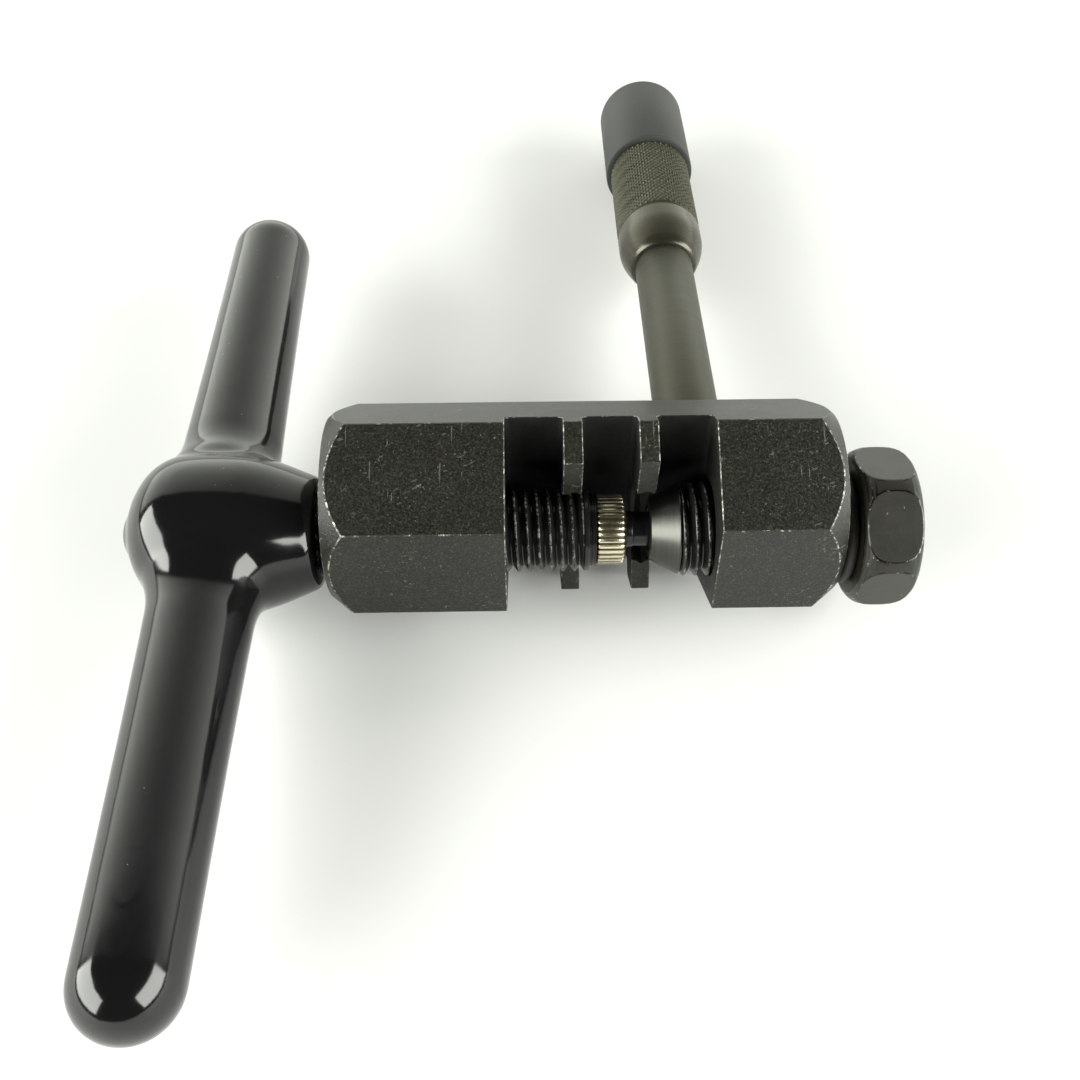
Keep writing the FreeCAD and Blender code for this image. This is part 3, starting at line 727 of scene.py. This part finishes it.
# ---- Second handle: knurled sleeve ---------------------------------------------------
# Hollow grip sleeve in the same plating, with a smooth tapered nose and band, then a
# fine diamond knurl up to the cap.
SLEEVE_R, KNURL_FROM, KNURL_TO = 6.65, 65.2, 84.2
sleeve = turned("handle_sleeve_body", [(56.0, 3.6), (56.0, 4.6), (56.15, 4.95), (56.6, 5.22),
                                       (57.5, 5.58), (58.6, 5.98), (59.6, 6.31), (60.4, 6.51),
                                       (61.2, 6.62), (62.0, SLEEVE_R), (64.3, SLEEVE_R),
                                       (64.55, 6.4), (65.0, 6.36), (84.3, 6.3), (98.5, 6.3),
                                       (99, 5.8), (99, 4.5), (66.5, 4.5), (66, 3.6),
                                       (56.0, 3.6)], "Y", (ROD_X, 0, ROD_Z), 144)
STARTS, ROUND, ROWS = 44, 264, 114
GROOVE_R, KNURL_DEPTH, KNURL_FADE, UNDER_R = 6.42, 0.27, 0.3, 6.1
knurl_points, knurl_faces = [], []


def knurl_point(radius, turn, y):
    knurl_points.append(((ROD_X + radius * math.cos(turn)) * mm, y * mm,
                         (ROD_Z + radius * math.sin(turn)) * mm))


for row in range(ROWS + 1):
    y = KNURL_FROM + (KNURL_TO - KNURL_FROM) * row / ROWS
    for i in range(ROUND):
        turn = 2 * math.pi * i / ROUND
        slope = STARTS * (y - KNURL_FROM) / SLEEVE_R
        ridge_a = abs(((STARTS * turn + slope) / (2 * math.pi)) % 1 - 0.5) * 2
        ridge_b = abs(((STARTS * turn - slope) / (2 * math.pi)) % 1 - 0.5) * 2
        edge = min(1, (y - KNURL_FROM) / KNURL_FADE, (KNURL_TO - y) / KNURL_FADE)
        knurl_point(GROOVE_R + KNURL_DEPTH * min(min(ridge_a, ridge_b) * 1.5, 1) * edge, turn, y)
for row in range(ROWS):
    for i in range(ROUND):
        a, b = row * ROUND + i, row * ROUND + (i + 1) % ROUND
        knurl_faces.append((a, a + ROUND, b + ROUND, b))
# Two narrower rings close the knurl under the sleeve's skin.
for y in (KNURL_TO + 0.1, KNURL_FROM - 0.1):
    for i in range(ROUND):
        knurl_point(UNDER_R, 2 * math.pi * i / ROUND, y)
far_under = (ROWS + 1) * ROUND
near_under = far_under + ROUND
for ring_a, ring_b in ((ROWS * ROUND, far_under), (far_under, near_under), (near_under, 0)):
    for i in range(ROUND):
        beside = (i + 1) % ROUND
        knurl_faces.append((ring_a + i, ring_b + i, ring_b + beside, ring_a + beside))
outline = bpy.data.meshes.new("knurl")
outline.from_pydata(knurl_points, [], knurl_faces)
knurl = bpy.data.objects.new("knurl", outline)
bpy.context.collection.objects.link(knurl)
grip, place = finish("brown_plate_knurl", Metallic=0.9)
mottle = place.noise(260, 4, 0.6)
fine = place.noise(3200, 3, 0.55)
peak = place.off_axis((1, 0, 1), (ROD_X * mm, 0, ROD_Z * mm)).above(6.45, 6.66)
colour = mottle.blend((0.056, 0.0545, 0.0370, 1), (0.082, 0.080, 0.056, 1))
(peak * 0.5).blend(colour, (0.105, 0.102, 0.074, 1)).feed("Base Color")
(0.36 + mottle * 0.12 + fine * 0.10).feed("Roughness")
(fine * 0.6 + mottle * 0.3).bump(0.00004, 0.5)
band, place = finish("brown_plate_band", Metallic=0.75)
mottle = place.noise(300, 4, 0.6)
polish = place.noise(2600, 3, 0.55, (0.05, 1, 0.05))
mottle.blend((0.046, 0.043, 0.032, 1), (0.068, 0.064, 0.048, 1)).feed("Base Color")
(0.19 + mottle * 0.08 + polish * 0.08).feed("Roughness")
(polish * 0.6 + mottle * 0.3).bump(0.00002, 0.4)
sleeve.data.materials.append(band)
knurl.data.materials.append(grip)
sleeve = join([sleeve, knurl])
sleeve.name = "handle_sleeve_body"
alone(sleeve)
bpy.ops.object.mode_set(mode="EDIT")
bpy.ops.mesh.select_all(action="SELECT")
bpy.ops.mesh.normals_make_consistent(inside=False)
bpy.ops.object.mode_set(mode="OBJECT")
smooth(sleeve, 40)
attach(sleeve, "bar")
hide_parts("handle_sleeve")


# ---- Spare pin -----------------------------------------------------------------------
# A second push pin kept in the hollow sleeve, seen only with the end cap off.
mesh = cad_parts["spare_pin"].data
mesh.materials.clear()
mesh.materials.append(pin_black)


# ---- End cap -------------------------------------------------------------------------
# Moulded dark plastic plug cap, a little larger than the sleeve, with a rounded end and
# a fine matt texture.
end_cap = turned("end_cap_body", [(98.0, 0), (98.0, 6.3), (84.5, 6.3), (84.5, 7.15), (84.6, 7.32),
                                  (84.85, 7.4), (104.1, 7.4), (104.6, 7.3), (105.0, 7.05),
                                  (105.28, 6.7), (105.4, 6.2), (105.4, 0)],
                 "Y", (ROD_X, 0, ROD_Z), 128)
moulded, place = finish("moulded_cap")
tex = place.noise(2600, 3, 0.6)
tone = place.noise(120, 3, 0.5)
tone.blend((0.013, 0.0145, 0.0125, 1), (0.022, 0.024, 0.021, 1)).feed("Base Color")
(0.48 + tone * 0.12 + tex * 0.1).feed("Roughness")
tex.bump(0.00006, 0.6)
end_cap.data.materials.append(moulded)
smooth(end_cap, 40)
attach(end_cap, "cap")
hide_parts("end_cap")
